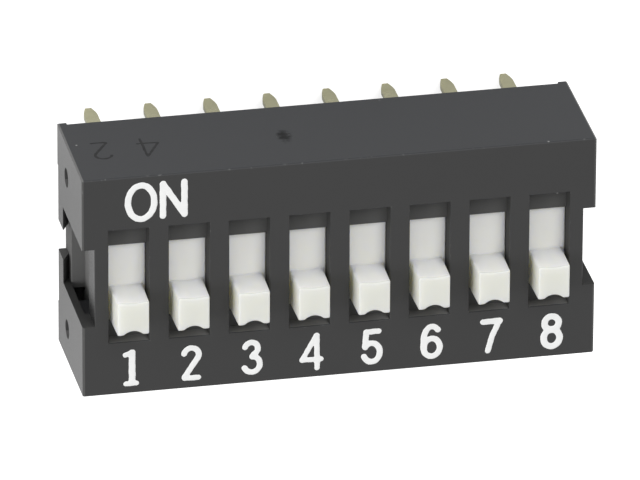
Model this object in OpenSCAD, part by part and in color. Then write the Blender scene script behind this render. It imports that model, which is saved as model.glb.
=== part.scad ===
// Slide DIP switch: a row of small on-off switches in one housing, with two rows of pins.
// +X runs from switch 1 to the last switch, +Y points to the ON side, and +Z points up
// through the knobs. The seating plane under the housing is z = 0. All sizes are in mm.

/* [Switches] */
// Number of switches in the row
poles = 8; // [2:1:12]
// Distance from one switch to the next
pitch = 2.54; // [2.44:0.02:2.8]
// Travel of each knob from OFF to ON
travel = 1.85; // [1.5:0.05:2]

/* [Housing] */
// Distance from the middle of each row of pins to the top edge of the long side beside it
side_margin = 1.14; // [1.04:0.02:1.6]
// Height of the top face above the seating plane
housing_h = 5.6; // [5.3:0.05:6.4]
// Distance from the middle of an outer switch to the end face beside it
end_margin = 1.96; // [1.86:0.02:2.4]
// How far each long side leans outwards from the top edge to the bottom edge
side_draft = 0.06; // [0:0.01:0.1]
// Thickness of the long walls at the top
side_wall_t = 0.55; // [0.4:0.01:0.62]
// Thickness of the end walls
end_wall_t = 0.32; // [0.26:0.01:0.4]
// Length of each corner foot along the long side
foot_l = 0.4; // [0.3:0.05:1]
// Width of each corner foot along the end
foot_w = 1.8; // [1:0.1:2.4]
// Height of the corner feet
foot_h = 0.15; // [0.05:0.01:0.25]

/* [Slots] */
// Length of the slot around each knob
slot_l = 5.16; // [4.6:0.02:6]
// Width of the slot, and of the channel below it
slot_w = 1.7; // [1.56:0.01:1.8]
// Depth of the slot down to its ledges
slot_depth = 0.67; // [0.5:0.01:0.85]
// Thickness of the ledges, which hold the sliding plates down
ledge_t = 0.1; // [0.06:0.01:0.3]

/* [End windows] */
// Width of the window and of the notch above it
window_w = 3.5; // [2.4:0.05:4]
// Depth of the notch in the edge of the top face
notch_d = 0.52; // [0.3:0.01:0.6]
// Height of the solid lip between the window and the top face
lip_h = 1.3; // [1:0.05:1.8]
// Height of the sill below the window
sill_h = 1.24; // [0.9:0.02:1.5]
// Width of the gap in the middle of the sill
sill_gap_w = 1.38; // [0.8:0.02:2]
// Width that is left at the top edge of the sill above its sloping inner face
sill_edge_t = 0.03; // [0.02:0.01:0.2]
// Height at which the sloping inner face of the sill starts
sill_slope_z = 0.7; // [0.2:0.01:0.75]
// Thickness of the wall between the window and the nearest channel
end_rib_t = 0.18; // [0.12:0.01:0.3]

/* [Moulding marks] */
// Diameter of the two round recesses in each end face
dimple_d = 0.84; // [0.4:0.02:1.2]
// Depth of those recesses
dimple_depth = 0.18; // [0.05:0.01:0.22]
// Distance from each recess to the top edge of the long side beside it
dimple_inset = 1.46; // [1.1:0.02:2]
// Height of the recesses
dimple_z = 2.1; // [1:0.1:3.5]
// Diameter of the gate mark on the ON side
gate_d = 0.62; // [0.3:0.02:1]
// Depth of the gate mark
gate_depth = 0.07; // [0.03:0.01:0.15]
// Place of the gate mark along the housing
gate_x = -1.84; // [-2:0.02:2]
// Height of the gate mark
gate_z = 2.94; // [1:0.02:4.4]

/* [Base] */
// Height of the floor that the contact pads lie on
base_h = 2; // [1.7:0.05:2.2]
// Height of the low rim at each end
rim_h = 0.6; // [0.4:0.05:1]
// Width of the lug that fills the foot of the window, behind the end wall
lug_w = 4.1; // [2.6:0.05:4.4]
// Corner radius of the lug
lug_r = 0.2; // [0.05:0.01:0.4]
// Width of the ribs between the switches
rib_w = 0.6; // [0.4:0.02:0.8]
// Height of the ribs above the floor
rib_h = 0.4; // [0.3:0.05:0.6]
// Gap all round between the base and the walls
base_gap = 0.025; // [0.01:0.005:0.05]
// Length of the catches on the long sides
catch_l = 2.2; // [1:0.1:3]
// Height of the catches
catch_h = 0.36; // [0.2:0.02:0.5]
// How far the catches stand out
catch_out = 0.12; // [0.06:0.01:0.2]
// Height of the middle of the catches
catch_z = 1.1; // [0.7:0.05:1.5]
// Width of the relief around each pin in the underside
relief_w = 1.1; // [0.8:0.05:1.4]
// Depth of that relief
relief_h = 0.2; // [0.1:0.02:0.4]

/* [Knobs] */
// Width of a knob at its top
knob_w = 1.33; // [1.1:0.01:1.5]
// How far each side of a knob leans outwards from its top to the plate
knob_draft = 0.035; // [0:0.005:0.05]
// Length of a knob along its travel
knob_l = 1.49; // [1.2:0.01:1.6]
// Height of a knob above the top face
knob_rise = 1; // [0.6:0.01:1.2]
// Middle of the knob in OFF, from the middle of the housing
knob_off_y = -1.05; // [-1.14:0.01:-0.8]
// Width of the finger groove in both working faces
groove_w = 0.8; // [0.5:0.01:1]
// Depth of the finger groove
groove_d = 0.17; // [0.08:0.01:0.22]
// Thickness of the sliding plate under the top wall
plate_t = 0.55; // [0.4:0.01:0.65]
// How far the plate reaches under the ledges at the end of its travel
plate_overlap = 0.2; // [0.1:0.01:0.3]
// Gap between the knob and the end of its opening at each end of its travel
stop_gap = 0.05; // [0.02:0.01:0.1]
// Gap between the plate and each wall of its channel
side_gap = 0.02; // [0.02:0.01:0.06]
// Gap between the plate and the top wall
plate_gap = 0.025; // [0.02:0.005:0.05]
// Width of the block that carries the contact spring
carrier_w = 1.3; // [1:0.02:1.45]
// Length of that block
carrier_l = 2.4; // [1.6:0.05:2.8]
// Height of that block
carrier_h = 0.8; // [0.4:0.02:0.9]
// Diameter of the peg through the contact spring
peg_d = 0.4; // [0.3:0.02:0.5]
// Length of the peg
peg_l = 0.32; // [0.2:0.02:0.4]

/* [Contact springs] */
// Thickness of the spring strip
strip_t = 0.1; // [0.08:0.01:0.14]
// Width of the spring strip
strip_w = 0.9; // [0.7:0.02:1.1]
// Half length of the flat middle
strip_flat = 0.42; // [0.34:0.01:0.5]
// Distance from the middle of the spring to each wiping tip
tip_reach = 1.15; // [1:0.01:1.3]
// Length of the upturned end beyond each tip
curl_l = 0.25; // [0.15:0.01:0.3]
// Rise of the upturned end
curl_rise = 0.18; // [0.1:0.01:0.3]
// Gap between the tips and the pads
tip_gap = 0.02; // [0.01:0.005:0.04]
// Gap between the spring and its peg
peg_gap = 0.03; // [0.02:0.005:0.05]

/* [Terminals] */
// Distance between the two rows of pins
row_spacing = 7.62; // [7.5:0.02:7.7]
// Length of the pins below the seating plane
pin_l = 3.5; // [2.5:0.1:4.5]
// Width of a pin
pin_w = 0.58; // [0.44:0.02:0.62]
// Thickness of the terminal strip
pin_t = 0.25; // [0.2:0.01:0.28]
// Width of the pin's tip
tip_w = 0.28; // [0.2:0.01:0.36]
// Length of the taper at the tip
taper_l = 0.62; // [0.3:0.02:1]
// Radius at the outside of the bend
bend_r = 0.2; // [0.1:0.01:0.24]
// Width of a contact pad
pad_w = 1; // [0.8:0.02:1.2]
// Bare floor between the two pads of a switch
pad_gap = 1.3; // [1:0.02:1.5]
// Gap around each pin in the base, and beside the raised floor
pin_gap = 0.015; // [0.01:0.005:0.04]

/* [Hidden] */
$fn = 48;
eps = 0.2; // overrun of a cut past the face it opens

housing_color = [0.13, 0.13, 0.14];
base_color = [0.09, 0.09, 0.1];
slider_color = [0.93, 0.93, 0.89];
spring_color = [0.85, 0.7, 0.4];
terminal_color = [0.76, 0.72, 0.58];

outer_x = (poles - 1) * pitch / 2;            // middle of the outer switches
half_l = outer_x + end_margin;                // end faces
half_w = row_spacing / 2 + side_margin;       // top edges of the long sides
cavity_x = half_l - end_wall_t;               // inner faces of the end walls
cavity_y = half_w - side_wall_t;              // inner faces of the long walls
window_x = outer_x + slot_w / 2 + end_rib_t;  // back of the windows
bay_h = base_h + rib_h;                       // underside of the walls between channels
ledge_z = housing_h - slot_depth;             // top of the ledges in the slots
roof_z = ledge_z - ledge_t;                   // underside of the ledges and of the top wall
bar_w = pitch - slot_w;                       // wall between two channels

open_lo = knob_off_y - knob_l / 2 - stop_gap;          // ends of the opening between
open_hi = knob_off_y + travel + knob_l / 2 + stop_gap; // the ledges
plate_l = knob_l + 2 * (stop_gap + travel + plate_overlap);
plate_z = roof_z - plate_gap;                 // top of the sliding plate
carrier_z = plate_z - plate_t - carrier_h;    // underside of the spring's block
pad_z = base_h + pin_t;                       // top of the contact pads
number_pad_y = knob_off_y + travel / 2;       // inner end of the number side pads
on_pad_y = number_pad_y + pad_gap;            // inner end of the ON side pads
pin_y = row_spacing / 2;
pad_out = pin_y - pin_t;                      // where a pad narrows to its pin

function pole_x(i) = (i - (poles + 1) / 2) * pitch;

// Box given by its lowest and highest corners
module span(lo, hi) {
    translate(lo) cube(hi - lo);
}

// Copies at both ends of the housing
module both_ends() {
    for (s = [0, 1]) mirror([s, 0, 0]) children();
}

// Copies on the ON side and the number side
module both_sides() {
    for (s = [0, 1]) mirror([0, s, 0]) children();
}

// A profile drawn in Y and Z, extruded along X and centred on it
module along_x(width) {
    rotate([90, 0, 90]) linear_extrude(width, center = true) children();
}

// ---- Housing ----

module housing_body() {
    along_x(2 * half_l) polygon([
        [-half_w - side_draft, 0], [half_w + side_draft, 0], [half_w, housing_h], [-half_w, housing_h]
    ]);
}

// Slot with a ledge at each end, the opening between them, and the channel below
module channel_cut() {
    span([-slot_w / 2, -slot_l / 2, ledge_z], [slot_w / 2, slot_l / 2, housing_h + eps]);
    span([-slot_w / 2, open_lo, roof_z - eps], [slot_w / 2, open_hi, ledge_z + eps]);
    span([-slot_w / 2, -cavity_y, bay_h - eps], [slot_w / 2, cavity_y, roof_z]);
}

// Notch in the top edge, window below it with a pocket over the lug, and the sill with its gap and slope
module window_cut() {
    lip_z = housing_h - lip_h;
    pocket = max(window_w, lug_w) / 2 + base_gap;
    span([half_l - notch_d, -window_w / 2, lip_z - eps], [half_l + eps, window_w / 2, housing_h + eps]);
    span([window_x, -window_w / 2, sill_h], [half_l + eps, window_w / 2, lip_z]);
    span([window_x, -pocket, sill_h], [cavity_x, pocket, lip_z]);
    span([cavity_x - eps, -sill_gap_w / 2, -eps], [half_l + eps, sill_gap_w / 2, sill_h + eps]);
    rotate([90, 0, 0]) linear_extrude(window_w, center = true) polygon([
        [cavity_x - eps, sill_slope_z], [cavity_x, sill_slope_z],
        [half_l - sill_edge_t, sill_h], [half_l - sill_edge_t, sill_h + eps / 2],
        [cavity_x - eps, sill_h + eps / 2]
    ]);
}

// Clears the bottom edge everywhere but at the corner feet
module foot_relief() {
    span([-half_l + foot_l, -2 * half_w, -eps], [half_l - foot_l, 2 * half_w, foot_h]);
    span([-half_l - eps, -half_w + foot_w, -eps], [half_l + eps, half_w - foot_w, foot_h]);
}

module dimple_cut() {
    translate([half_l - dimple_depth, half_w - dimple_inset, dimple_z])
        rotate([0, 90, 0]) cylinder(d = dimple_d, h = dimple_depth + eps);
}

module gate_cut() {
    side_y = half_w + side_draft * (1 - gate_z / housing_h);
    translate([gate_x, side_y - gate_depth, gate_z])
        rotate([-90, 0, 0]) cylinder(d = gate_d, h = gate_depth + eps);
}

// A catch on a long side, or its pocket when it is grown by a gap
module catch_bar(grow) {
    y0 = cavity_y - base_gap;
    for (s = [-1, 1]) translate([s * outer_x * 0.6, 0, catch_z]) along_x(catch_l + 2 * grow) polygon([
        [y0 - eps, -catch_h / 2 - grow], [y0, -catch_h / 2 - grow],
        [y0 + catch_out + grow, -catch_h / 6], [y0 + catch_out + grow, catch_h / 6],
        [y0, catch_h / 2 + grow], [y0 - eps, catch_h / 2 + grow]
    ]);
}

module housing() {
    color(housing_color) difference() {
        housing_body();
        span([-cavity_x, -cavity_y, -eps], [cavity_x, cavity_y, bay_h]);
        for (i = [1:poles]) translate([pole_x(i), 0, 0]) channel_cut();
        both_ends() window_cut();
        both_ends() both_sides() dimple_cut();
        both_sides() catch_bar(base_gap);
        gate_cut();
        foot_relief();
    }
}

// ---- Base ----

// Lug at an end, which shows at the foot of the window
module lug() {
    reach = cavity_x - base_gap;
    span([window_x - eps, -lug_w / 2, 0], [reach - lug_r, lug_w / 2, sill_h]);
    span([window_x - eps, -lug_w / 2 + lug_r, 0], [reach, lug_w / 2 - lug_r, sill_h]);
    both_sides() translate([reach - lug_r, lug_w / 2 - lug_r, 0]) cylinder(r = lug_r, h = sill_h);
}

// Hole through the base for a pin, with a relief in the underside
module pin_hole() {
    half = [pin_w / 2 + pin_gap, pin_t / 2 + pin_gap];
    span([-half.x, pin_y - half.y, -eps], [half.x, pin_y + half.y, base_h + eps]);
    span([-relief_w / 2, pin_y - pin_t, -eps], [relief_w / 2, pin_y + pin_t, relief_h]);
}

// Floor between two pads, raised level with them so that the spring slides across
module raised_floor() {
    span([-pad_w / 2, number_pad_y + pin_gap, base_h - eps], [pad_w / 2, on_pad_y - pin_gap, pad_z]);
}

module ribs() {
    y1 = cavity_y - base_gap;
    for (i = [1:1:poles - 1]) translate([pole_x(i) + pitch / 2, 0, 0])
        span([-rib_w / 2, -y1, base_h - eps], [rib_w / 2, y1, bay_h]);
    both_ends() span([window_x - end_rib_t, -y1, base_h - eps], [window_x, y1, bay_h]);
}

module base() {
    y1 = cavity_y - base_gap;
    color(base_color) difference() {
        union() {
            span([-window_x, -y1, 0], [window_x, y1, base_h]);
            span([-cavity_x + base_gap, -y1, 0], [cavity_x - base_gap, y1, rim_h]);
            both_ends() lug();
            both_sides() catch_bar(0);
            ribs();
            for (i = [1:poles]) translate([pole_x(i), 0, 0]) raised_floor();
        }
        for (i = [1:poles]) translate([pole_x(i), 0, 0]) both_sides() pin_hole();
    }
}

// ---- Sliders ----

// Plan of a knob, with a finger groove in both working faces
module knob_plan() {
    groove_r = (groove_w * groove_w / 4 + groove_d * groove_d) / (2 * groove_d);
    difference() {
        square([knob_w + 2 * knob_draft, knob_l], center = true);
        for (s = [-1, 1]) translate([0, s * (knob_l / 2 - groove_d + groove_r)]) circle(groove_r);
    }
}

// A knob from the middle of its plate to its top, narrower towards the top
module knob() {
    z0 = plate_z - plate_t / 2;
    z1 = housing_h + knob_rise;
    foot = knob_w / 2 + knob_draft;
    intersection() {
        translate([0, 0, z0]) linear_extrude(z1 - z0) knob_plan();
        rotate([90, 0, 0]) linear_extrude(2 * knob_l, center = true) polygon([
            [-foot, z0 - eps], [foot, z0 - eps], [foot, plate_z], [knob_w / 2, z1],
            [knob_w / 2, z1 + eps], [-knob_w / 2, z1 + eps], [-knob_w / 2, z1], [-foot, plate_z]
        ]);
    }
}

module slider(i) {
    plate_w = slot_w - 2 * side_gap;
    color(slider_color) translate([pole_x(i), knob_off_y, 0]) {
        knob();
        span([-plate_w / 2, -plate_l / 2, plate_z - plate_t], [plate_w / 2, plate_l / 2, plate_z]);
        span([-carrier_w / 2, -carrier_l / 2, carrier_z], [carrier_w / 2, carrier_l / 2, plate_z - plate_t / 2]);
        translate([0, 0, carrier_z - peg_l]) cylinder(d = peg_d, h = peg_l + carrier_h / 2);
    }
}

// ---- Contact springs ----

spring_drop = carrier_z - strip_t - pad_z - tip_gap;
spring_steps = 14; // points along each half of the spring's middle line

// Height of the middle line at distance y from the middle, below its flat
function strip_z(y) =
    y < strip_flat ? 0 :
    y < tip_reach ? -spring_drop * (1 - cos(180 * (y - strip_flat) / (tip_reach - strip_flat))) / 2 :
    -spring_drop + curl_rise * (1 - cos(90 * (y - tip_reach) / curl_l));

function strip_mid(k) = let(y = k * (tip_reach + curl_l) / spring_steps) [y, strip_z(abs(y))];

function mirrored_mid(k) = k < 0 ? [-strip_mid(-k).x, strip_mid(-k).y] : strip_mid(k);

// Point on one face of the strip, half its thickness from the middle line
function strip_side(k, side) =
    let(a = mirrored_mid(max(k - 1, -spring_steps)), b = mirrored_mid(min(k + 1, spring_steps)))
    mirrored_mid(k) + side * strip_t / 2 * [a.y - b.y, b.x - a.x] / norm(b - a);

module contact_spring(i) {
    color(spring_color) translate([pole_x(i), knob_off_y, carrier_z - strip_t / 2]) difference() {
        along_x(strip_w) polygon(concat(
            [for (k = [-spring_steps:spring_steps]) strip_side(k, 1)],
            [for (k = [spring_steps:-1:-spring_steps]) strip_side(k, -1)]
        ));
        cylinder(d = peg_d + 2 * peg_gap, h = 4 * strip_t, center = true);
    }
}

// ---- Terminals ----

// Pin with a tapered tip, seen from the side it is wide on
module pin_plan() {
    z0 = -pin_l;
    polygon([
        [-pin_w / 2, pad_z], [-pin_w / 2, z0 + taper_l], [-pin_w / 2 * 0.86, z0 + taper_l * 0.62],
        [-tip_w / 2, z0], [tip_w / 2, z0], [pin_w / 2 * 0.86, z0 + taper_l * 0.62],
        [pin_w / 2, z0 + taper_l], [pin_w / 2, pad_z]
    ]);
}

// A terminal on the +Y side, whose pad starts at pad_start
module terminal(pad_start) {
    difference() {
        union() {
            span([-pad_w / 2, pad_start, base_h], [pad_w / 2, pad_out, pad_z]);
            span([-pin_w / 2, pad_start, base_h], [pin_w / 2, pin_y, pad_z]);
            translate([0, pin_y + pin_t / 2, 0]) rotate([90, 0, 0]) linear_extrude(pin_t) pin_plan();
        }
        // Rounds the outside of the bend
        translate([0, pin_y + pin_t / 2 - bend_r, pad_z - bend_r]) difference() {
            span([-pin_w, 0, 0], [pin_w, pin_t, pin_t]);
            rotate([0, 90, 0]) cylinder(r = bend_r, h = 3 * pin_w, center = true);
        }
    }
}

module on_terminal(i) {
    color(terminal_color) translate([pole_x(i), 0, 0]) terminal(on_pad_y);
}

module number_terminal(i) {
    color(terminal_color) translate([pole_x(i), 0, 0]) mirror([0, 1, 0]) terminal(-number_pad_y);
}

housing();
base();
for (i = [1:poles]) slider(i);
for (i = [1:poles]) contact_spring(i);
for (i = [1:poles]) on_terminal(i);
for (i = [1:poles]) number_terminal(i);
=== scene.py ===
import math

import bmesh
import bpy
import numpy as np
from mathutils import Matrix, Vector


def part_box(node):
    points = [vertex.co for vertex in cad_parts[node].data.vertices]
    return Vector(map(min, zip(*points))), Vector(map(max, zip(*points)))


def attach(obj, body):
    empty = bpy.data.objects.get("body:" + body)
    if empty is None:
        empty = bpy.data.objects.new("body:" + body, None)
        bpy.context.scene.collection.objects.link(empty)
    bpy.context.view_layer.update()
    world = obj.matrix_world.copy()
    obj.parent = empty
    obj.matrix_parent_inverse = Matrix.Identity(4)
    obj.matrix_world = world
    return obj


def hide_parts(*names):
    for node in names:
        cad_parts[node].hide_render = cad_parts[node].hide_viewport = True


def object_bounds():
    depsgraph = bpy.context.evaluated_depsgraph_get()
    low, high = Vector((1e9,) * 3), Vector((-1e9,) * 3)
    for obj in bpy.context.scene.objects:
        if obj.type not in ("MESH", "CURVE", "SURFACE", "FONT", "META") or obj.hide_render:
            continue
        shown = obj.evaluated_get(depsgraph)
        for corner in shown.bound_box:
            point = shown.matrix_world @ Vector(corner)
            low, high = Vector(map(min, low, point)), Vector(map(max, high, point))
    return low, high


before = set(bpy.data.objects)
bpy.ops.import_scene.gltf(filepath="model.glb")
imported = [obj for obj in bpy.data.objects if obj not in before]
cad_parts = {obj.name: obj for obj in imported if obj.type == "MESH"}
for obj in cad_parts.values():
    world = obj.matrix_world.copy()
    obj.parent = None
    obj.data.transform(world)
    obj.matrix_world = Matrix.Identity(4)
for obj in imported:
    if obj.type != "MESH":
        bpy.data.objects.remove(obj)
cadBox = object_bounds()
mm = 0.001  # meshes are built in millimetres and scaled to metres when they are finished
housingBody = "housing"
poleCount = sum(name.startswith("slider_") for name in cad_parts)
print("frame loaded, switches:", poleCount)


def boxMm(node):
    low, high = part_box(node)
    return low / mm, high / mm


def newPiece(name, bm):
    mesh = bpy.data.meshes.new(name)
    bm.to_mesh(mesh)
    bm.free()
    thing = bpy.data.objects.new(name, mesh)
    bpy.context.scene.collection.objects.link(thing)
    return thing


def settle(thing):  # turns the modifiers' result into the plain mesh
    graph = bpy.context.evaluated_depsgraph_get()
    mesh = bpy.data.meshes.new_from_object(thing.evaluated_get(graph))
    thing.modifiers.clear()
    thing.data = mesh


copyLook = {"merge": 0.0008, "flat": 0.4, "edge": 30}  # millimetres, degrees and degrees


def cadCopy(node):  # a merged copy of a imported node, in millimetres, with its flat faces whole
    bm = bmesh.new()
    bm.from_mesh(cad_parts[node].data)
    bm.transform(Matrix.Scale(1 / mm, 4))
    bmesh.ops.remove_doubles(bm, verts=bm.verts, dist=copyLook["merge"])
    flat = math.radians(copyLook["flat"])
    bmesh.ops.dissolve_limit(bm, angle_limit=flat, verts=bm.verts, edges=bm.edges)
    return bm


def weighEdges(bm, radiusAt, width):  # radiusAt gives the rounding wanted at an edge, in millimetres
    layer = bm.edges.layers.float.new("bevel_weight_edge")
    for edge in bm.edges:
        if len(edge.link_faces) == 2 and edge.calc_face_angle() > math.radians(copyLook["edge"]):
            a, b = (v.co for v in edge.verts)
            edge[layer] = radiusAt((a + b) / 2, b - a, edge.is_convex) / width


def roundEdges(thing, width, segments):
    bevel = thing.modifiers.new("rounding", "BEVEL")
    bevel.limit_method = "WEIGHT"
    bevel.width = width
    bevel.segments = segments
    bevel.use_clamp_overlap = False
    settle(thing)


roundingLimits = {"sharpest": 50, "least": 20, "broadest": 1.0}  # degrees, then square millimetres


def markRounding(bm):  # stores 1 along the middle of rounded edges, for the wear in the materials
    layer = bm.verts.layers.float.new("rounding")
    sharpest = math.radians(roundingLimits["sharpest"])
    least = math.radians(roundingLimits["least"])
    for vert in bm.verts:
        normals = [face.normal for face in vert.link_faces]
        shared = [edge for edge in vert.link_edges if len(edge.link_faces) == 2]
        sharp = any(edge.calc_face_angle() > sharpest for edge in shared)
        turn = max((a.angle(b, 0.0) for a in normals for b in normals), default=0.0)
        broad = any(face.calc_area() > roundingLimits["broadest"] for face in vert.link_faces)
        vert[layer] = 1.0 if turn > least and not sharp and not broad else 0.0


def markFaces(thing, name, valueAt):  # stores a value on each face, which the material reads as a mask
    layer = thing.data.attributes.new(name, "FLOAT", "FACE")
    for face, value in zip(thing.data.polygons, layer.data):
        value.value = float(valueAt(face))


def finish(thing, material, body, replaced=(), sharpAngle=35):
    bm = bmesh.new()
    bm.from_mesh(thing.data)
    bm.normal_update()
    markRounding(bm)
    for edge in bm.edges:
        edge.smooth = len(edge.link_faces) != 2 or edge.calc_face_angle() < math.radians(sharpAngle)
    for face in bm.faces:
        face.smooth = True
    bm.to_mesh(thing.data)
    bm.free()
    normals = thing.modifiers.new("normals", "WEIGHTED_NORMAL")
    normals.keep_sharp = True
    settle(thing)
    thing.data.transform(Matrix.Scale(mm, 4))
    thing.data.materials.clear()
    thing.data.materials.append(material)
    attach(thing, body)
    if replaced:
        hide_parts(*replaced)
    return thing


def addNode(tree, kind, values=None, **settings):
    node = tree.nodes.new(kind)
    for key, value in settings.items():
        setattr(node, key, value)
    for key, value in (values or {}).items():
        node.inputs[key].default_value = value
    return node


def newGroup(name, inputs, outputs):
    tree = bpy.data.node_groups.new(name, "ShaderNodeTree")
    for label, start in inputs.items():
        socket = tree.interface.new_socket(label, in_out="INPUT", socket_type="NodeSocketFloat")
        socket.default_value = start
    for label in outputs:
        tree.interface.new_socket(label, in_out="OUTPUT", socket_type="NodeSocketFloat")
    return tree, addNode(tree, "NodeGroupInput"), addNode(tree, "NodeGroupOutput")


def perMillimetre(tree, sizeSocket):  # a texture scale from a size in millimetres
    scale = addNode(tree, "ShaderNodeMath", {0: 1 / mm}, operation="DIVIDE")
    tree.links.new(sizeSocket, scale.inputs[1])
    return scale.outputs[0]


def makeGrainGroup():  # fine moulding texture, and slow clouds in the surface
    sizes = {"Grain size": 0.06, "Cloud size": 2.0}
    tree, source, sink = newGroup("mouldedGrain", sizes, ["Grain", "Cloud"])
    place = addNode(tree, "ShaderNodeTexCoord")
    for label, size, detail in (("Grain", "Grain size", 3.0), ("Cloud", "Cloud size", 4.0)):
        texture = addNode(tree, "ShaderNodeTexNoise", {"Detail": detail, "Roughness": 0.6})
        tree.links.new(place.outputs["Object"], texture.inputs["Vector"])
        tree.links.new(perMillimetre(tree, source.outputs[size]), texture.inputs["Scale"])
        tree.links.new(texture.outputs[0], sink.inputs[label])
    return tree


def makeDustGroup():  # small scattered specks
    tree, source, sink = newGroup("strayDust", {"Spacing": 0.8, "Speck": 0.05, "Share": 0.2}, ["Mask"])
    place = addNode(tree, "ShaderNodeTexCoord")
    cells = addNode(tree, "ShaderNodeTexVoronoi")
    tree.links.new(place.outputs["Object"], cells.inputs["Vector"])
    tree.links.new(perMillimetre(tree, source.outputs["Spacing"]), cells.inputs["Scale"])
    near = addNode(tree, "ShaderNodeMapRange", {1: 0.0, 3: 1.0, 4: 0.0}, interpolation_type="SMOOTHSTEP")
    tree.links.new(cells.outputs["Distance"], near.inputs[0])
    tree.links.new(source.outputs["Speck"], near.inputs[2])
    tone = addNode(tree, "ShaderNodeSeparateColor")
    tree.links.new(cells.outputs["Color"], tone.inputs[0])
    picked = addNode(tree, "ShaderNodeMath", operation="LESS_THAN")
    tree.links.new(tone.outputs[0], picked.inputs[0])
    tree.links.new(source.outputs["Share"], picked.inputs[1])
    both = addNode(tree, "ShaderNodeMath", operation="MULTIPLY")
    tree.links.new(near.outputs[0], both.inputs[0])
    tree.links.new(picked.outputs[0], both.inputs[1])
    tree.links.new(both.outputs[0], sink.inputs["Mask"])
    return tree


def makeWearGroup():  # rubbed and nicked places along rounded edges
    tree, source, sink = newGroup("rubbedEdges", {"Patch size": 0.3, "Amount": 0.4}, ["Mask"])
    place = addNode(tree, "ShaderNodeTexCoord")
    edge = addNode(tree, "ShaderNodeAttribute", attribute_name="rounding")
    patches = addNode(tree, "ShaderNodeTexNoise", {"Detail": 5.0, "Roughness": 0.7})
    tree.links.new(place.outputs["Object"], patches.inputs["Vector"])
    tree.links.new(perMillimetre(tree, source.outputs["Patch size"]), patches.inputs["Scale"])
    limit = addNode(tree, "ShaderNodeMath", {0: 1.0}, operation="SUBTRACT")
    tree.links.new(source.outputs["Amount"], limit.inputs[1])
    above = addNode(tree, "ShaderNodeMath", operation="SUBTRACT")
    tree.links.new(patches.outputs[0], above.inputs[0])
    tree.links.new(limit.outputs[0], above.inputs[1])
    contrast = 6.0
    strong = addNode(tree, "ShaderNodeMath", {1: contrast}, operation="MULTIPLY", use_clamp=True)
    tree.links.new(above.outputs[0], strong.inputs[0])
    masked = addNode(tree, "ShaderNodeMath", operation="MULTIPLY")
    tree.links.new(strong.outputs[0], masked.inputs[0])
    tree.links.new(edge.outputs["Fac"], masked.inputs[1])
    tree.links.new(masked.outputs[0], sink.inputs["Mask"])
    return tree


def makeFacingGroup():  # which way a face looks: to either end, to either long side, to the ON side only
    tree, _, sink = newGroup("faceDirection", {}, ["End", "Side", "ON side"])
    place = addNode(tree, "ShaderNodeTexCoord")
    parts = addNode(tree, "ShaderNodeSeparateXYZ")
    tree.links.new(place.outputs["Normal"], parts.inputs[0])
    for axis, label in (("X", "End"), ("Y", "Side")):
        size = addNode(tree, "ShaderNodeMath", operation="ABSOLUTE")
        tree.links.new(parts.outputs[axis], size.inputs[0])
        tree.links.new(size.outputs[0], sink.inputs[label])
    forward = addNode(tree, "ShaderNodeMath", {1: 0.0}, operation="MAXIMUM")
    tree.links.new(parts.outputs["Y"], forward.inputs[0])
    tree.links.new(forward.outputs[0], sink.inputs["ON side"])
    return tree


spotShape = {"ragged": 5.0, "squeeze": 0.55, "wobble": 0.5, "soft": 0.3}


def makeSpotGroup():  # a soft ragged spot, taller than it is wide
    tree, source, sink = newGroup("softSpot", {"Middle X": 0.0, "Middle Z": 0.0, "Reach": 0.5}, ["Mask"])
    place = addNode(tree, "ShaderNodeTexCoord")
    soft = spotShape["soft"]
    ragged = addNode(tree, "ShaderNodeTexNoise", {"Scale": spotShape["ragged"] / mm, "Detail": 3.0})
    tree.links.new(place.outputs["Object"], ragged.inputs["Vector"])
    parts = addNode(tree, "ShaderNodeSeparateXYZ")
    tree.links.new(place.outputs["Object"], parts.inputs[0])
    squares = []
    for axis, squeeze in (("X", 1.0), ("Z", spotShape["squeeze"])):
        off = addNode(tree, "ShaderNodeMath", {1: 1 / mm}, operation="MULTIPLY")
        tree.links.new(parts.outputs[axis], off.inputs[0])
        fromMiddle = addNode(tree, "ShaderNodeMath", operation="SUBTRACT")
        tree.links.new(off.outputs[0], fromMiddle.inputs[0])
        tree.links.new(source.outputs["Middle " + axis], fromMiddle.inputs[1])
        scaled = addNode(tree, "ShaderNodeMath", {1: squeeze}, operation="MULTIPLY")
        tree.links.new(fromMiddle.outputs[0], scaled.inputs[0])
        square = addNode(tree, "ShaderNodeMath", {1: 2.0}, operation="POWER")
        tree.links.new(scaled.outputs[0], square.inputs[0])
        squares.append(square.outputs[0])
    total = addNode(tree, "ShaderNodeMath", operation="ADD")
    tree.links.new(squares[0], total.inputs[0])
    tree.links.new(squares[1], total.inputs[1])
    distance = addNode(tree, "ShaderNodeMath", operation="SQRT")
    tree.links.new(total.outputs[0], distance.inputs[0])
    wobble = addNode(tree, "ShaderNodeMath", {1: spotShape["wobble"]}, operation="MULTIPLY_ADD")
    tree.links.new(ragged.outputs[0], wobble.inputs[0])
    tree.links.new(distance.outputs[0], wobble.inputs[2])
    near = addNode(tree, "ShaderNodeMapRange", {1: soft, 3: 1.0, 4: 0.0}, interpolation_type="SMOOTHSTEP")
    edge = addNode(tree, "ShaderNodeMath", {1: soft}, operation="ADD")
    tree.links.new(source.outputs["Reach"], edge.inputs[0])
    tree.links.new(edge.outputs[0], near.inputs[2])
    tree.links.new(wobble.outputs[0], near.inputs[0])
    tree.links.new(near.outputs[0], sink.inputs["Mask"])
    return tree


facingGroup = makeFacingGroup()
spotGroup = makeSpotGroup()
grainGroup = makeGrainGroup()
dustGroup = makeDustGroup()
wearGroup = makeWearGroup()


def newMaterial(name, values):
    material = bpy.data.materials.new(name)
    material.use_nodes = True
    tree = material.node_tree
    shader = tree.nodes["Principled BSDF"]
    for key, value in values.items():
        shader.inputs[key].default_value = value
    return material, tree, shader


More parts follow.
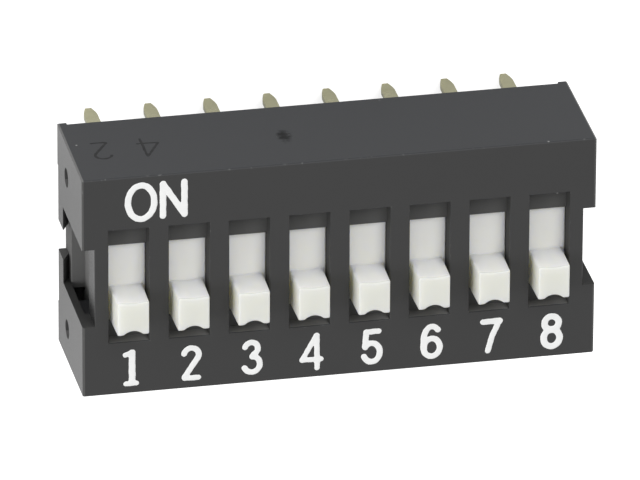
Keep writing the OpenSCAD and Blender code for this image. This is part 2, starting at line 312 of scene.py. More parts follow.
def placeGroup(tree, group, values=None):
    node = addNode(tree, "ShaderNodeGroup", node_tree=group)
    for key, value in (values or {}).items():
        node.inputs[key].default_value = value
    return node


def meshMask(tree, name):  # a value that the mesh carries
    return addNode(tree, "ShaderNodeAttribute", attribute_name=name).outputs["Fac"]


def blendColors(tree, mask, first, second):  # first and second are colours or sockets
    mix = addNode(tree, "ShaderNodeMix", data_type="RGBA")
    tree.links.new(mask, mix.inputs["Factor"])
    for slotIndex, value in ((6, first), (7, second)):
        if isinstance(value, bpy.types.NodeSocket):
            tree.links.new(value, mix.inputs[slotIndex])
        else:
            mix.inputs[slotIndex].default_value = (*value, 1.0)
    return mix.outputs[2]


def mixValues(tree, mask, first, second):  # first is a socket, second a number
    mix = addNode(tree, "ShaderNodeMix", {3: second}, data_type="FLOAT")
    tree.links.new(mask, mix.inputs["Factor"])
    tree.links.new(first, mix.inputs[2])
    return mix.outputs[0]


def spread(tree, value, low, high):  # maps the middle of a noise to a range
    remap = addNode(tree, "ShaderNodeMapRange", {1: 0.3, 2: 0.7, 3: low, 4: high})
    tree.links.new(value, remap.inputs[0])
    return remap.outputs[0]


def addBump(tree, shader, height, strength, distance):
    bump = addNode(tree, "ShaderNodeBump", {"Strength": strength, "Distance": distance * mm})
    tree.links.new(height, bump.inputs["Height"])
    tree.links.new(bump.outputs[0], shader.inputs["Normal"])


gateMiddle = Vector((-1.84, 4.97, 2.94))  # the mark left by the mould's gate on the ON side

# Colours are linear, and the sizes of patterns are in millimetres
blackPlastic = {
    "dark": (0.021, 0.021, 0.021),
    "light": (0.0275, 0.0275, 0.0275),
    # painted reflection: the long sides take a blue tint standing in for the bluish surroundings they
    # reflect
    "side": (0.021, 0.0225, 0.0255),
    # painted light: the two recess colours below are paler than the open plastic, standing in for light
    # that bounces into slots, windows, notches and dimples
    "recess": (0.030, 0.030, 0.0295),
    "recessPaintedLight": (0.15, 0.15, 0.148),
    # painted light: the pit colour is a pale grey for the shaded gaps behind the notch sills and the
    # base's low end faces
    "pit": (0.11, 0.11, 0.108),
    "burn": (0.0075, 0.0075, 0.0078),  # a smudge round the gate mark
    "worn": (0.20, 0.20, 0.195),
    "dust": (0.42, 0.42, 0.41),
    "roughness": (0.50, 0.60),
    "endRoughness": 0.26,
    "sideRoughness": 0.55,
    "recessRoughness": 0.85,
    "burnRoughness": 1.0,
    "specular": 0.42,
    "grain": {"Grain size": 0.07, "Cloud size": 2.4},
    "specks": {"Spacing": 0.55, "Speck": 0.12, "Share": 0.03},
    "rubbing": {"Patch size": 0.35, "Amount": 0.42},
    "burnSpot": {"Middle X": gateMiddle.x, "Middle Z": gateMiddle.z, "Reach": 0.34},
    "bump": (0.4, 0.005),
}
baseChange = {"roughness": (0.42, 0.5), "rubbing": {"Patch size": 0.35, "Amount": 0.2}}


def makeBlackPlastic(name, look):
    material, tree, shader = newMaterial(name, {"Specular IOR Level": look["specular"]})
    grain = placeGroup(tree, grainGroup, look["grain"])
    dust = placeGroup(tree, dustGroup, look["specks"])
    worn = placeGroup(tree, wearGroup, look["rubbing"])
    spot = placeGroup(tree, spotGroup, look["burnSpot"])
    facing = placeGroup(tree, facingGroup)
    recess = meshMask(tree, "recess")
    burn = addNode(tree, "ShaderNodeMath", operation="MULTIPLY")
    tree.links.new(spot.outputs[0], burn.inputs[0])
    tree.links.new(facing.outputs["ON side"], burn.inputs[1])
    # painted light: recessed faces take the paler recess colours, mixed by the pale and pit masks
    inner = blendColors(tree, meshMask(tree, "pale"), look["recess"], look["recessPaintedLight"])
    inner = blendColors(tree, meshMask(tree, "pit"), inner, look["pit"])
    color = blendColors(tree, grain.outputs["Cloud"], look["dark"], look["light"])
    # painted reflection: faces looking to the long sides are tinted blue
    color = blendColors(tree, facing.outputs["Side"], color, look["side"])
    color = blendColors(tree, recess, color, inner)
    color = blendColors(tree, burn.outputs[0], color, look["burn"])
    color = blendColors(tree, worn.outputs[0], color, look["worn"])
    color = blendColors(tree, dust.outputs[0], color, look["dust"])
    tree.links.new(color, shader.inputs["Base Color"])
    rough = spread(tree, grain.outputs["Cloud"], *look["roughness"])
    rough = mixValues(tree, facing.outputs["End"], rough, look["endRoughness"])
    rough = mixValues(tree, facing.outputs["Side"], rough, look["sideRoughness"])
    rough = mixValues(tree, recess, rough, look["recessRoughness"])
    rough = mixValues(tree, burn.outputs[0], rough, look["burnRoughness"])
    tree.links.new(rough, shader.inputs["Roughness"])
    addBump(tree, shader, grain.outputs["Grain"], *look["bump"])
    return material


whitePlastic = {
    "clean": (0.85, 0.85, 0.825),
    "shaded": (0.82, 0.82, 0.795),
    # painted light: the knob is coloured lighter and warmer than its plate, though both are one moulded
    # piece
    "knob": (0.95, 0.94, 0.88),
    # painted shade: the knob's top is coloured darker than its sides
    "paintedTopShade": (0.68, 0.685, 0.64),
    # painted light: faces looking to either end are coloured lighter and warmer, standing in for light
    # glowing through the knob's sides
    "flankPaintedLight": (0.99, 0.955, 0.82),
    "dust": (0.30, 0.29, 0.26),
    "plateGlow": 0.35,  # how deep light goes in, in millimetres
    "knobGlow": 1.1,
    "glowColor": (1.0, 0.96, 0.78),
    "roughness": (0.32, 0.42),
    "specular": 0.45,
    "grain": {"Grain size": 0.12, "Cloud size": 0.9},
    "specks": {"Spacing": 0.5, "Speck": 0.05, "Share": 0.02},
    "bump": (0.15, 0.004),
}


def makeWhitePlastic(name, look):
    material, tree, shader = newMaterial(name, {
        "Specular IOR Level": look["specular"],
        "Subsurface Weight": 1.0,
        "Subsurface Radius": look["glowColor"],
    })
    knob = meshMask(tree, "knob")
    deep = addNode(tree, "ShaderNodeMapRange", {3: look["plateGlow"] * mm, 4: look["knobGlow"] * mm})
    tree.links.new(knob, deep.inputs[0])
    tree.links.new(deep.outputs[0], shader.inputs["Subsurface Scale"])
    grain = placeGroup(tree, grainGroup, look["grain"])
    dust = placeGroup(tree, dustGroup, look["specks"])
    facing = placeGroup(tree, facingGroup)
    color = blendColors(tree, grain.outputs["Cloud"], look["clean"], look["shaded"])
    # painted light: the knob lighter than its plate
    color = blendColors(tree, knob, color, look["knob"])
    # painted light: faces looking to either end lighter and warmer
    color = blendColors(tree, facing.outputs["End"], color, look["flankPaintedLight"])
    # painted shade: the knob's top darker
    color = blendColors(tree, meshMask(tree, "paintedTopShade"), color, look["paintedTopShade"])
    color = blendColors(tree, dust.outputs[0], color, look["dust"])
    tree.links.new(color, shader.inputs["Base Color"])
    tree.links.new(spread(tree, grain.outputs["Cloud"], *look["roughness"]), shader.inputs["Roughness"])
    addBump(tree, shader, grain.outputs["Grain"], *look["bump"])
    return material


platedStrip = {
    "bright": (0.515, 0.50, 0.335),
    "dull": (0.42, 0.405, 0.26),
    "roughness": (0.24, 0.38),
    "grain": {"Grain size": 0.05, "Cloud size": 0.6},
    "bump": (0.2, 0.003),
}
goldChange = {"bright": (0.86, 0.64, 0.30), "dull": (0.74, 0.52, 0.22), "roughness": (0.2, 0.32)}


def makePlating(name, look):
    material, tree, shader = newMaterial(name, {"Metallic": 1.0})
    grain = placeGroup(tree, grainGroup, look["grain"])
    color = blendColors(tree, grain.outputs["Cloud"], look["bright"], look["dull"])
    tree.links.new(color, shader.inputs["Base Color"])
    tree.links.new(spread(tree, grain.outputs["Cloud"], *look["roughness"]), shader.inputs["Roughness"])
    addBump(tree, shader, grain.outputs["Grain"], *look["bump"])
    return material


whiteInk = {
    "full": (0.86, 0.86, 0.85),
    "thin": (0.74, 0.75, 0.75),
    "roughness": 0.55,
    "specular": 0.3,
    "grain": {"Grain size": 0.09, "Cloud size": 0.22},
    "bump": (0.3, 0.006),
}
darkChange = {"full": (0.010, 0.010, 0.011), "thin": (0.035, 0.035, 0.036), "specular": 0.12}


def makeInk(name, look):
    plain = {"Roughness": look["roughness"], "Specular IOR Level": look["specular"]}
    material, tree, shader = newMaterial(name, plain)
    grain = placeGroup(tree, grainGroup, look["grain"])
    color = blendColors(tree, grain.outputs["Cloud"], look["full"], look["thin"])
    tree.links.new(color, shader.inputs["Base Color"])
    addBump(tree, shader, grain.outputs["Grain"], *look["bump"])
    return material


housingPlastic = makeBlackPlastic("housingPlastic", blackPlastic)
basePlastic = makeBlackPlastic("basePlastic", {**blackPlastic, **baseChange})
sliderPlastic = makeWhitePlastic("whiteSliderPlastic", whitePlastic)
terminalPlating = makePlating("terminalPlating", platedStrip)
springPlating = makePlating("springPlating", {**platedStrip, **goldChange})
printInk = makeInk("whitePrint", whiteInk)
mouldMarkFinish = makeInk("mouldMarkFinish", {**whiteInk, **darkChange})
print("finishes made")


def strokeLine(*points):
    return [Vector(p) for p in points]


def strokeArc(cx, cy, rx, ry, start, end, steps=28):
    turns = [math.radians(start + (end - start) * k / steps) for k in range(steps + 1)]
    return [Vector((cx + rx * math.cos(t), cy + ry * math.sin(t))) for t in turns]


# Each mark is a list of (pen radius, stroke), in millimetres from the mark's middle
marks = {
    "1": [
        (0.14, strokeLine((0.12, 0.70), (0.12, -0.66))),
        (0.115, strokeLine((-0.16, 0.61), (0.08, 0.68))),
        (0.115, strokeLine((-0.13, -0.72), (0.29, -0.72))),
    ],
    "2": [
        (0.125, strokeArc(0.08, 0.36, 0.315, 0.31, 168, -32) + strokeLine((-0.2, -0.64))),
        (0.12, strokeLine((-0.19, -0.70), (0.37, -0.71))),
    ],
    "3": [
        (0.125, strokeArc(0.076, 0.40, 0.28, 0.285, 162, -62)),
        (0.12, strokeLine((0.20, 0.13), (0.12, 0.05))),
        (0.125, strokeArc(0.10, -0.33, 0.34, 0.355, 84, -157)),
    ],
    "4": [
        (0.11, strokeLine((0.29, 0.75), (-0.30, -0.33))),
        (0.115, strokeLine((-0.30, -0.34), (0.49, -0.36))),
        (0.115, strokeLine((0.31, 0.74), (0.33, -0.75))),
    ],
    "5": [
        (0.125, strokeLine((0.385, 0.70), (-0.13, 0.70), (-0.18, 0.08))),
        (0.13, strokeArc(0.10, -0.265, 0.345, 0.43, 142, -157)),
    ],
    "6": [
        (0.128, strokeArc(0.115, -0.27, 0.343, 0.41, 0, 360)),
        (0.128, strokeArc(0.123, 0.076, 0.352, 0.62, 46, 180) + strokeLine((-0.228, -0.27))),
    ],
    "7": [
        (0.13, strokeLine((-0.24, 0.69), (0.45, 0.70))),
        (0.122, strokeLine((0.45, 0.69), (0.15, 0.02), (-0.03, -0.66))),
    ],
    "8": [
        (0.142, strokeArc(0.146, 0.375, 0.30, 0.307, 0, 360)),
        (0.142, strokeArc(0.153, -0.318, 0.343, 0.386, 0, 360)),
    ],
    "O": [(0.134, strokeArc(-0.08, -0.02, 0.552, 0.765, 0, 360, 48))],
    "N": [(0.136, strokeLine((-0.46, -0.72), (-0.46, 0.74), (0.44, -0.72), (0.44, 0.75)))],
}


def toSegment(x, y, a, b):
    along = b - a
    t = np.clip(((x - a.x) * along.x + (y - a.y) * along.y) / max(along.length_squared, 1e-12), 0, 1)
    return np.hypot(x - a.x - along.x * t, y - a.y - along.y * t)


def inkDepth(x, y, strokes, blend):  # how far inside the mark a place lies; the strokes flow together
    depth = np.full(x.shape, -9.0)
    for radius, stroke in strokes:
        d = radius - np.min([toSegment(x, y, a, b) for a, b in zip(stroke, stroke[1:])], axis=0)
        h = np.maximum(blend - abs(d - depth), 0.0) / blend
        depth = np.maximum(d, depth) + h * h * blend / 4
    return depth


def raggedness(x, y, seed):  # crossed waves that roughen a mark's edge, and are the same each run
    slow = np.sin(13.1 * x + 5.3 * y + seed) * np.sin(11.7 * y - 4.1 * x + 2 * seed)
    fast = np.sin(37 * x - 19 * y + 3 * seed) * np.sin(33 * y + 14 * x + seed)
    return slow + 0.6 * fast


def markSheet(strokes, cell, blend, rough, seed):
    # Gives the points (x, y, depth) and faces of a mark, on a grid that is trimmed along the mark's edge
    border = 0.3  # empty grid round the strokes
    nearest = 0.08  # the least share of a cell that is trimmed off or left
    reach = max(max(abs(c) for c in point) for _, stroke in strokes for point in stroke) + border
    count = math.ceil(reach / cell)
    steps = np.arange(-count, count + 1)
    x, y = np.meshgrid(steps * cell, steps * cell, indexing="ij")
    field = inkDepth(x, y, strokes, blend) + rough * raggedness(x, y, seed)
    depth = {(i, j): float(field[i + count, j + count]) for i in steps.tolist() for j in steps.tolist()}
    points, index, faces = [], {}, []

    def corner(key):
        if key not in index:
            index[key] = len(points)
            points.append((key[0] * cell, key[1] * cell, depth[key]))
        return index[key]

    def crossing(a, b):
        key = (min(a, b), max(a, b))
        if key not in index:
            first, second = key
            t = min(1 - nearest, max(nearest, depth[first] / (depth[first] - depth[second])))
            index[key] = len(points)
            x, y = (cell * (first[k] + (second[k] - first[k]) * t) for k in (0, 1))
            points.append((x, y, 0.0))
        return index[key]

    for i in range(-count, count):
        for j in range(-count, count):
            square = [(i, j), (i + 1, j), (i + 1, j + 1), (i, j + 1)]
            face = []
            for a, b in zip(square, square[1:] + square[:1]):
                if depth[a] > 0:
                    face.append(corner(a))
                if (depth[a] > 0) != (depth[b] > 0):
                    face.append(crossing(a, b))
            if len(face) > 2:
                faces.append(face)
    return points, faces


def addMark(bm, sheet, place, top, bottom):
    # Adds a closed film: top and bottom give the height over the surface at a depth inside the edge
    points, faces = sheet
    upper = [bm.verts.new(place(x, y, top(d))) for x, y, d in points]
    lower = []
    for vert, (x, y, d) in zip(upper, points):
        lower.append(vert if d == 0 else bm.verts.new(place(x, y, bottom(d))))
    for face in faces:
        bm.faces.new([upper[k] for k in face])
        if any(points[k][2] != 0 for k in face):
            bm.faces.new([lower[k] for k in reversed(face)])


def smoothRise(d, width):
    t = min(1.0, max(0.0, d / width))
    return t * t * (3 - 2 * t)


hair = 0.01  # what lies closer together than this counts as the same place
housingHigh = boxMm("housing")[1]
housingLook = {
    "outerRound": 0.08,
    "slotRound": 0.05,
    "notchRound": 0.045,
    "footRound": 0.04,
    "footHeight": 0.16,
    "gateRound": 0.02,
    "gateReach": 0.4,
    "gateFloor": (0.02, 0.2),  # how far in the gate mark's floor lies, at least and at most
    "gateFill": 0.055,  # the gate mark's floor is raised by this
    "segments": 4,
    "lean": 0.13,  # the sides' top edges lie this close to the widest place
    "endBorder": 1.0,  # between the ends and the row of slots
    "slotReach": 2.62,
    "notchReach": 2.3,
    "notchDepth": 0.6,
    "windowDepth": 0.4,
    "windowDrop": 1.29,
    "pitDepth": 0.5,
    "pitTop": 1.4,
    "dimpleDepth": 0.25,
    "dimpleArea": 0.7,
}


def housingRounding(middle, along, convex):
    x, y, z = abs(middle.x), abs(middle.y), middle.z
    look = housingLook
    onEnd = x > housingHigh.x - hair
    onSide = y > housingHigh.y - look["lean"]
    upright = abs(along.z) > 1e-3
    if not convex:
        return 0.0
    if z > housingHigh.z - hair:
        if onEnd or onSide:
            return look["outerRound"]
        return look["notchRound"] if x > housingHigh.x - look["notchDepth"] else look["slotRound"]
    if onEnd and onSide and upright:
        return look["outerRound"]
    if z < look["footHeight"] and (onEnd or onSide):
        return look["footRound"]
    if (middle - gateMiddle).length < look["gateReach"] + 0.1:
        return look["gateRound"]
    return 0.0


def facePlace(face):
    return abs(face.center.x), abs(face.center.y), face.center.z


def looksAlong(face, axis):
    return abs(face.normal[axis]) > 0.5


def isWindow(face):  # the back of the end windows
    x, y, z = facePlace(face)
    depth = housingHigh.x - x
    behind = housingLook["windowDepth"] < depth < housingLook["endBorder"]
    low = z < housingHigh.z - housingLook["windowDrop"]
    return behind and low and y < housingLook["notchReach"] and not looksAlong(face, 1)


def isNotchWall(face):  # the two faces of an end notch that look at each other
    x, y, _ = facePlace(face)
    inNotch = x > housingHigh.x - housingLook["notchDepth"] and y < housingLook["notchReach"]
    return inNotch and looksAlong(face, 1)


def isPit(face):  # the gap behind the sill of an end notch, which lies in shade and is painted paler as painted light
    x, y, z = facePlace(face)
    inNotch = x > housingHigh.x - housingLook["pitDepth"] and y < housingLook["notchReach"]
    inward = face.normal.x * face.center.x < 0 or abs(face.normal.x) < 0.3
    return inNotch and z < housingLook["pitTop"] and inward and abs(face.normal.z) < 0.9


def isSlot(face):
    x, y, z = facePlace(face)
    inRow = x < housingHigh.x - housingLook["endBorder"] and y < housingLook["slotReach"]
    return inRow and z < housingHigh.z - housingLook["slotRound"]


def isDimple(face):  # the round marks in the ends
    x, y, _ = facePlace(face)
    inEnd = hair < housingHigh.x - x < housingLook["dimpleDepth"]
    return inEnd and y > housingLook["notchReach"] and face.area < housingLook["dimpleArea"]


def isRecess(face):
    return any(test(face) for test in (isSlot, isDimple, isWindow, isPit, isNotchWall))


def paleAt(face):  # how much painted light a recessed face gets: 0 on the slots' long walls, 1 on their end walls
    if isWindow(face) or isNotchWall(face):
        return 0.0
    if looksAlong(face, 1):
        return 1.0
    return 0.35 if looksAlong(face, 2) else 0.0


def makeHousing():
    bm = cadCopy("housing")
    shallowest, deepest = housingLook["gateFloor"]
    for vert in bm.verts:  # makes the gate mark shallower
        off = vert.co - gateMiddle
        if math.hypot(off.x, off.z) < housingLook["gateReach"] and shallowest < -off.y < deepest:
            vert.co.y += housingLook["gateFill"]
    weighEdges(bm, housingRounding, housingLook["outerRound"])
    thing = newPiece("housingShell", bm)
    roundEdges(thing, housingLook["outerRound"], housingLook["segments"])
    # these masks place the painted light in the housing's recesses
    markFaces(thing, "recess", isRecess)
    markFaces(thing, "pale", paleAt)
    markFaces(thing, "pit", isPit)
    return thing


housingShell = makeHousing()
finish(housingShell, housingPlastic, housingBody, ["housing"])
print("housing made:", len(housingShell.data.polygons), "faces")


baseLook = {"round": 0.03, "segments": 3, "endX": 9.85, "pitTop": 1.2, "lowest": 0.2}


def baseRounding(middle, along, convex):
    atEnd = abs(middle.x) > baseLook["endX"] + 0.05
    return baseLook["round"] if convex and atEnd and middle.z > baseLook["lowest"] else 0.0


def isBaseEnd(face):  # what shows of the base in the end notches
    return abs(face.center.x) > baseLook["endX"]


def makeBase():
    bm = cadCopy("base")
    weighEdges(bm, baseRounding, baseLook["round"])
    thing = newPiece("baseCarrier", bm)
    roundEdges(thing, baseLook["round"], baseLook["segments"])
    # painted light: the base's end faces in the notches take the pale recess colour, and the pit colour
    # low down
    markFaces(thing, "recess", lambda face: isBaseEnd(face) and not looksAlong(face, 1))
    markFaces(thing, "pale", lambda face: 1.0)
    markFaces(thing, "pit", lambda face: isBaseEnd(face) and face.center.z < baseLook["pitTop"])
    return thing


baseCarrier = makeBase()
finish(baseCarrier, basePlastic, housingBody, ["base"])
print("base made")


sliderLook = {
    "grooveDepth": {"number side": 0.17, "ON side": 0.045},
    "grooveHalf": 0.4,
    "grooveEase": 0.035,  # how far the groove's ends are eased into the flat
    "crown": 0.08,  # rounding of the knob's top edges
    "crownSteps": 6,
    "crownFlat": 0.02,  # a ring this wide keeps the top flat beside the rounding
    "foot": 0.06,  # fillet where the knob stands on its plate
    "footSteps": 6,
    "inside": 0.02,  # how far the foot is kept from the plate's long edges, beside the slot's walls
    "plateEdge": 0.03,
    "plateSteps": 3,
    "plateCorner": 60,
    "knobCorner": 32,  # higher is a crisper corner in plan
    "points": 240,
}


def layers(node):  # the heights at which a node has corners, lowest first
    heights = sorted(v.co.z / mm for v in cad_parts[node].data.vertices)
    return [h for k, h in enumerate(heights) if k == 0 or h - heights[k - 1] > hair]


def extentAt(node, height, reach=99.0):  # middle and half sizes of the corners at a height
    corners = [v.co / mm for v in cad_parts[node].data.vertices]
    found = [p for p in corners if abs(p.z - height) < hair / 2]
    middle = sum(p.y for p in found) / len(found)
    found = [p for p in found if abs(p.y - middle) < reach]
    low = Vector((min(p.x for p in found), min(p.y for p in found)))
    high = Vector((max(p.x for p in found), max(p.y for p in found)))
    return (low + high) / 2, (high - low) / 2


def roundedReach(first, second, power):  # smooth form of the smaller of two distances
    return (first ** -power + second ** -power) ** (-1 / power)


def grooveAt(x, side):  # depth of a finger groove at a distance from its middle: an arc with eased ends
    deep, wide = sliderLook["grooveDepth"][side], sliderLook["grooveHalf"]
    radius = (wide * wide + deep * deep) / (2 * deep)
    arc = deep - radius + math.sqrt(max(radius * radius - x * x, 0.0))
    return (arc + math.hypot(arc, sliderLook["grooveEase"])) / 2


def knobReach(angle, half):  # distance from the knob's middle to its outline
    c, s = abs(math.cos(angle)) + 1e-9, abs(math.sin(angle)) + 1e-9
    side = "ON side" if math.sin(angle) > 0 else "number side"
    toEnd = half.y / s
    for _ in range(16):  # settles on the place where the ray from the middle meets the groove
        toEnd = (half.y - grooveAt(min(toEnd * c, half.x), side)) / s
    return roundedReach(half.x / c, toEnd, sliderLook["knobCorner"])


def pegReach(angle, half):
    return half.x


def plateReach(angle, half):
    c, s = abs(math.cos(angle)) + 1e-9, abs(math.sin(angle)) + 1e-9
    return roundedReach(half.x / c, half.y / s, sliderLook["plateCorner"])


def outline(reach, half, middle, grow):  # outline points, moved outwards by grow
    count = sliderLook["points"]
    turns = [2 * math.pi * k / count for k in range(count)]
    flat = [Vector((math.cos(t), math.sin(t))) * reach(t, half) for t in turns]
    points = []
    for k, point in enumerate(flat):
        tangent = flat[(k + 1) % count] - flat[k - 1]
        points.append(middle + point + grow * Vector((tangent.y, -tangent.x)).normalized())
    return points


def quarter(steps):  # (sine, cosine) over a quarter turn
    turns = [math.pi / 2 * k / steps for k in range(steps + 1)]
    return [(math.sin(t), math.cos(t)) for t in turns]


def loft(bm, rings):  # skins the rings and closes both ends with a fan from the middle
    rows = [[bm.verts.new((p.x, p.y, z)) for p in points] for points, z in rings]
    for lower, upper in zip(rows, rows[1:]):
        for k in range(len(lower)):
            j = (k + 1) % len(lower)
            bm.faces.new((lower[k], lower[j], upper[j], upper[k]))
    for row, turn in ((rows[0], -1), (rows[-1], 1)):
        middle = bm.verts.new(sum((v.co for v in row), Vector()) / len(row))
        for k in range(len(row)):
            ends = (row[k], row[(k + 1) % len(row)])
            bm.faces.new((middle, *ends[::turn]))


def makeSlider(node, name):  # peg, spring block, plate and knob as one skin
    pegBottom, blockBottom, plateBottom, plateTop, knobTop = layers(node)
    middle, plateHalf = extentAt(node, plateTop)
    knobHalf = extentAt(node, knobTop)[1]
    footHalf = extentAt(node, plateTop, knobHalf.y + 0.01)[1]
    blockHalf = extentAt(node, blockBottom)[1]
    pegHalf = extentAt(node, pegBottom)[1]
    edge, foot, crown = sliderLook["plateEdge"], sliderLook["foot"], sliderLook["crown"]
    footSteps, plateSteps = sliderLook["footSteps"], sliderLook["plateSteps"]
    rings = []

    def addRings(reach, half, *steps):
        rings.extend((outline(reach, half, middle, grow), z) for grow, z in steps)

    lowerEdge = [(edge * (s - 1), plateBottom + edge * (1 - c)) for s, c in quarter(plateSteps)]
    upperEdge = [(edge * (c - 1), plateTop - edge * (1 - s)) for s, c in quarter(plateSteps)]
    fillet = [(foot * (1 - s), plateTop + foot * (1 - c)) for s, c in quarter(footSteps)]
    rim = [(crown * (1 - c), knobTop - crown * (1 - s)) for s, c in quarter(sliderLook["crownSteps"])]
    rim.append((crown + sliderLook["crownFlat"], knobTop))
    addRings(pegReach, pegHalf, (-edge, pegBottom), (0, pegBottom + edge), (0, blockBottom))
    addRings(plateReach, blockHalf, (-edge, blockBottom), (0, blockBottom + edge), (0, plateBottom))
    addRings(plateReach, plateHalf, *lowerEdge, *upperEdge)
    addRings(knobReach, footHalf, *fillet)
    sides = plateHalf.x - sliderLook["inside"]
    for ring, z in rings[-footSteps - 1:]:
        for point in ring:
            point.x = min(max(point.x, middle.x - sides), middle.x + sides)
    for depth, z in rim:
        rings.append((outline(knobReach, knobHalf - Vector((depth, depth)), middle, 0), z))
    bm = bmesh.new()
    loft(bm, rings)
    thing = newPiece(name, bm)
    # marks the knob's top for its painted shade
    markFaces(thing, "paintedTopShade", lambda face: face.center.z > knobTop - crown)
    markFaces(thing, "knob", lambda face: face.center.z > plateTop + 0.01)
    return thing


def makeSliders():  # one knob is built and its mesh is placed at every pole
    first = makeSlider("slider_1", "slider1")
    start = boxMm("slider_1")[0]
    things = [first]
    for number in range(2, poleCount + 1):
        mesh = first.data.copy()
        mesh.transform(Matrix.Translation(boxMm(f"slider_{number}")[0] - start))
        thing = bpy.data.objects.new(f"slider{number}", mesh)
        bpy.context.scene.collection.objects.link(thing)
        things.append(thing)
    for number, thing in enumerate(things, 1):
        finish(thing, sliderPlastic, f"switch_{number}", [f"slider_{number}"])
    return things


sliders = makeSliders()
print("sliders made:", len(sliders[0].data.polygons), "faces each")


def makeRowTree():  # copies one pin along a row
    tree = bpy.data.node_groups.new("pinRow", "GeometryNodeTree")
    for label, kind in (("Pin", "Object"), ("Count", "Int"), ("Pitch", "Float"), ("Plating", "Material")):
        tree.interface.new_socket(label, in_out="INPUT", socket_type="NodeSocket" + kind)
    tree.interface.new_socket("Geometry", in_out="OUTPUT", socket_type="NodeSocketGeometry")
    source = addNode(tree, "NodeGroupInput")
    sink = addNode(tree, "NodeGroupOutput")
    pin = addNode(tree, "GeometryNodeObjectInfo")
    line = addNode(tree, "GeometryNodeMeshLine", mode="OFFSET")
    offset = addNode(tree, "ShaderNodeCombineXYZ")
    copies = addNode(tree, "GeometryNodeInstanceOnPoints")
    real = addNode(tree, "GeometryNodeRealizeInstances")
    plated = addNode(tree, "GeometryNodeSetMaterial")
    for start, end in (
        (source.outputs["Pin"], pin.inputs["Object"]),
        (source.outputs["Count"], line.inputs["Count"]),
        (source.outputs["Pitch"], offset.inputs["X"]),
        (offset.outputs[0], line.inputs["Offset"]),
        (line.outputs[0], copies.inputs["Points"]),
        (pin.outputs["Geometry"], copies.inputs["Instance"]),
        (copies.outputs[0], real.inputs[0]),
        (real.outputs[0], plated.inputs["Geometry"]),
        (source.outputs["Plating"], plated.inputs["Material"]),
        (plated.outputs[0], sink.inputs[0]),
    ):
        tree.links.new(start, end)
    return tree


rowTree = makeRowTree()
pinLook = {"round": 0.035, "segments": 3, "highest": 0.3}


def pinRounding(middle, along, convex):  # below the housing only
    return pinLook["round"] if convex and middle.z < pinLook["highest"] else 0.0


def makeRow(side, name):
    nodes = [f"{side}_{k}" for k in range(1, poleCount + 1)]
    bm = cadCopy(nodes[0])
    weighEdges(bm, pinRounding, pinLook["round"])
    pin = newPiece(name + "Pin", bm)
    roundEdges(pin, pinLook["round"], pinLook["segments"])
    row = newPiece(name, bmesh.new())
    copies = row.modifiers.new("row", "NODES")
    copies.node_group = rowTree
    inputs = [item for item in rowTree.interface.items_tree if item.in_out == "INPUT"]
    sockets = {item.name: item.identifier for item in inputs}
    pitch = (boxMm(nodes[-1])[0].x - boxMm(nodes[0])[0].x) / (poleCount - 1)
    values = {"Pin": pin, "Count": poleCount, "Pitch": pitch, "Plating": terminalPlating}
    for label, value in values.items():
        copies[sockets[label]] = value
    settle(row)
    bpy.data.objects.remove(pin)
    return finish(row, terminalPlating, housingBody, nodes)


onRow = makeRow("on_terminal", "onSideTerminals")
numberRow = makeRow("number_terminal", "numberSideTerminals")
for number in range(1, poleCount + 1):
    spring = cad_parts[f"contact_spring_{number}"]
    spring.data.materials.clear()
    spring.data.materials.append(springPlating)
print("terminals made:", len(onRow.data.polygons), "and", len(numberRow.data.polygons), "faces")


printLook = {
    "film": 0.014,
    "least": 0.002,  # the film's thickness at its edge
    "edge": 0.05,
    "sink": 0.004,
    "cell": 0.03,
    "blend": 0.07,
    "rough": 0.007,
    "numberY": -3.78,
    "wordY": 3.80,
    "letterX": {"O": -8.29, "N": -6.995},
}


def makePrint(name, letters):
    top = housingHigh.z
    bm = bmesh.new()
    for number, (letter, x0, y0) in enumerate(letters):
        seed = number * 7.3
        sheet = markSheet(marks[letter], printLook["cell"], printLook["blend"], printLook["rough"], seed)
        addMark(
            bm,
            sheet,
            lambda x, y, h: (x0 + x, y0 + y, top + h),
            lambda d: printLook["least"] + printLook["film"] * smoothRise(d, printLook["edge"]),
            lambda d: -printLook["sink"],
        )
    thing = newPiece(name, bm)
    return finish(thing, printInk, housingBody, sharpAngle=80)


numbers = []
for number in range(1, poleCount + 1):
    middle = extentAt(f"slider_{number}", layers(f"slider_{number}")[-1])[0]
    numbers.append((str(number), middle.x, printLook["numberY"]))
word = [(letter, x, printLook["wordY"]) for letter, x in printLook["letterX"].items()]
printedNumbers = makePrint("printedNumbers", numbers)
makePrint("printedWord", word)
print("print made:", len(printedNumbers.data.polygons), "faces")


mouldMarks = {
    "digits": {"2": -9.42, "4": -7.40},
    "z": 2.93,
    "pen": 0.45,
    "scale": 1.1,
    "film": 0.003,
    "edge": 0.02,
    "cell": 0.02,
    "blend": 0.03,
    "rough": 0.012,
}


def makeMouldMarks():
    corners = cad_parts["housing"].data.vertices
    topHalfY = max(v.co.y for v in corners if v.co.z / mm > housingHigh.z - hair) / mm
    lean = (housingHigh.y - topHalfY) / housingHigh.z
    bm = bmesh.new()
    for digit, x0 in mouldMarks["digits"].items():
        strokes = [(pen * mouldMarks["pen"], stroke) for pen, stroke in marks[digit]]
        sheet = markSheet(strokes, mouldMarks["cell"], mouldMarks["blend"], mouldMarks["rough"], x0)

        def place(x, y, h):
            z = mouldMarks["z"] + y * mouldMarks["scale"]
            return (x0 - x * mouldMarks["scale"], housingHigh.y - lean * z + h, z)

        film = mouldMarks["film"]
        addMark(bm, sheet, place, lambda d: film * smoothRise(d, mouldMarks["edge"]), lambda d: -film)
    thing = newPiece("mouldMarks", bm)
    return finish(thing, mouldMarkFinish, housingBody, sharpAngle=80)


mouldMarkPiece = makeMouldMarks()
print("mould marks made:", len(mouldMarkPiece.data.polygons), "faces")


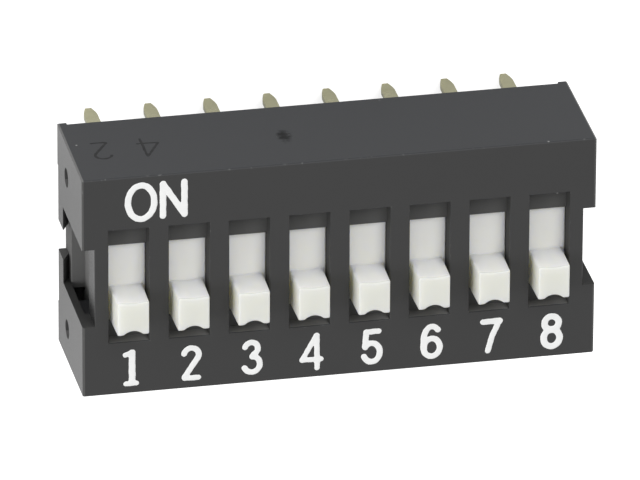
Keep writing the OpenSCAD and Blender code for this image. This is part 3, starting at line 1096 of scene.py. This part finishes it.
studio = {
    "floorSize": 3.0,
    "floorColor": (0.70, 0.70, 0.70),
    "floorGlow": {"Is Camera Ray": 0.75, "Is Glossy Ray": 0.18, "Is Transmission Ray": 0.18},
    "skyDiffuse": 0.66,
    "skyShown": 1.0,
}


def shownTo(tree, strengths):  # a strength for each named kind of ray, and 0 for the others
    path = addNode(tree, "ShaderNodeLightPath")
    total = None
    for kind, strength in strengths.items():
        part = addNode(tree, "ShaderNodeMath", {1: strength}, operation="MULTIPLY")
        tree.links.new(path.outputs[kind], part.inputs[0])
        if total is None:
            total = part.outputs[0]
            continue
        both = addNode(tree, "ShaderNodeMath", operation="MAXIMUM")
        tree.links.new(total, both.inputs[0])
        tree.links.new(part.outputs[0], both.inputs[1])
        total = both.outputs[0]
    return total


def makeFloor():
    half = studio["floorSize"] / 2
    z = cadBox[0].z
    mesh = bpy.data.meshes.new("floor")
    corners = [(-half, -half, z), (half, -half, z), (half, half, z), (-half, half, z)]
    mesh.from_pydata(corners, [], [(0, 1, 2, 3)])
    floor = bpy.data.objects.new("floor", mesh)
    bpy.context.scene.collection.objects.link(floor)
    material, tree, shader = newMaterial("paleFloor", {"Roughness": 1.0, "Specular IOR Level": 0.0})
    shader.inputs["Base Color"].default_value = (*studio["floorColor"], 1.0)
    shader.inputs["Emission Color"].default_value = (1.0, 1.0, 1.0, 1.0)
    tree.links.new(shownTo(tree, studio["floorGlow"]), shader.inputs["Emission Strength"])
    mesh.materials.append(material)


def makeSky():
    world = bpy.data.worlds.new("softSky")
    bpy.context.scene.world = world
    world.use_nodes = True
    tree = world.node_tree
    background = tree.nodes["Background"]
    background.inputs["Color"].default_value = (1.0, 1.0, 1.0, 1.0)
    strength = addNode(tree, "ShaderNodeMapRange", {3: studio["skyDiffuse"], 4: studio["skyShown"]})
    shown = dict.fromkeys(studio["floorGlow"], 1.0)
    tree.links.new(shownTo(tree, shown), strength.inputs[0])
    tree.links.new(strength.outputs[0], background.inputs["Strength"])


# Places and sizes of lamps and camera are in metres, and the lens in millimetres
lamps = {
    "key": {"place": (0.09, 0.25, 0.25), "size": 0.22, "power": 0.52},
    "fill": {"place": (-0.30, 0.02, 0.17), "size": 0.15, "power": 0.50},
}


def makeLamp(name, look):
    data = bpy.data.lights.new(name, "AREA")
    data.size = look["size"]
    data.energy = look["power"]
    lamp = bpy.data.objects.new(name, data)
    bpy.context.scene.collection.objects.link(lamp)
    lamp.location = look["place"]
    lamp.rotation_euler = (-Vector(look["place"])).to_track_quat("-Z", "Y").to_euler()


cameraLook = {
    "place": (-0.08525, 0.20063, 0.40952),
    "view": (0.18419, -0.43487, -0.88146),
    "upright": (0.08394, 0.90048, -0.42672),
    "lens": 623.4,
}


def makeCamera():
    data = bpy.data.cameras.new("camera")
    data.sensor_width = 36.0
    data.lens = cameraLook["lens"]
    data.clip_start = 0.01
    data.clip_end = 10.0
    camera = bpy.data.objects.new("camera", data)
    bpy.context.scene.collection.objects.link(camera)
    back = -Vector(cameraLook["view"]).normalized()
    right = Vector(cameraLook["upright"]).cross(back).normalized()
    up = back.cross(right)
    turn = Matrix((right, up, back)).transposed().to_4x4()
    camera.matrix_world = Matrix.Translation(cameraLook["place"]) @ turn
    bpy.context.scene.camera = camera


makeFloor()
makeSky()
for name, look in lamps.items():
    makeLamp(name, look)
makeCamera()
bpy.context.scene.view_settings.view_transform = "Standard"
print("studio made")
